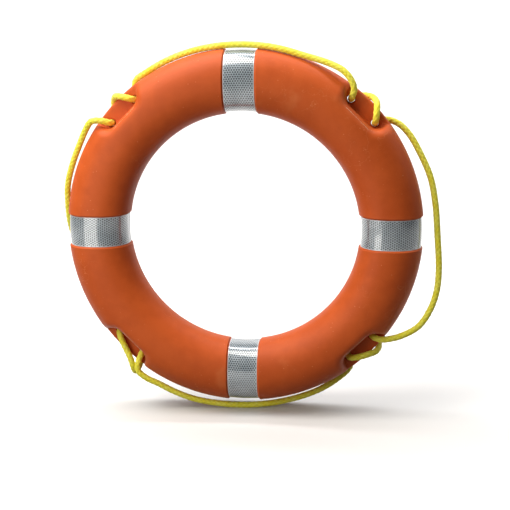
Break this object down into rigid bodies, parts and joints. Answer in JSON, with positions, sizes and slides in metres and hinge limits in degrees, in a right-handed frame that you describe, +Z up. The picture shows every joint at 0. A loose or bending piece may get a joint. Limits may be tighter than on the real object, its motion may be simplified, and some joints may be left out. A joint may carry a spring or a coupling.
{
  "type": "ring lifebuoy",
  "caption": "Ring lifebuoy: foam-filled orange plastic ring with reflective tapes and a grab line laced through moulded lugs, thrown to keep a swimmer afloat.",
  "frame": {"origin": "on the inside of the ring at the very top, midway between its two faces, where a bracket hook carries it", "axes": "+Z up, +Y along the ring's axis from its front face to its back face, +X to the right seen from the front"},
  "size_m": [0.6454, 0.1051, 0.6281],
  "materials": {
    "orange_shell": "satin moulded polyethylene, orange",
    "core_foam": "closed-cell foam, cream",
    "orange_plug": "satin moulded polyethylene, orange",
    "reflective_tape": "silver reflective film under clear gloss",
    "rope": "laid polypropylene rope, yellow",
    "sleeve": "shrunk sleeve, black"
  },
  "bodies": {
    "root": {"ring_shell": "orange_shell", "foam_core": "core_foam", "filler_plug": "orange_plug", "vent_plug": "orange_plug", "tape_top": "reflective_tape", "tape_right": "reflective_tape", "tape_bottom": "reflective_tape", "tape_left": "reflective_tape", "grab_line_upper_right_wrap": "rope", "grab_line_right_loop": "rope", "grab_line_lower_right_wrap": "rope", "grab_line_bottom_loop": "rope", "grab_line_lower_left_wrap": "rope", "grab_line_left_loop": "rope", "grab_line_upper_left_wrap": "rope", "grab_line_top_loop": "rope", "rope_end_sleeve": "sleeve"}
  },
  "joints": []
}
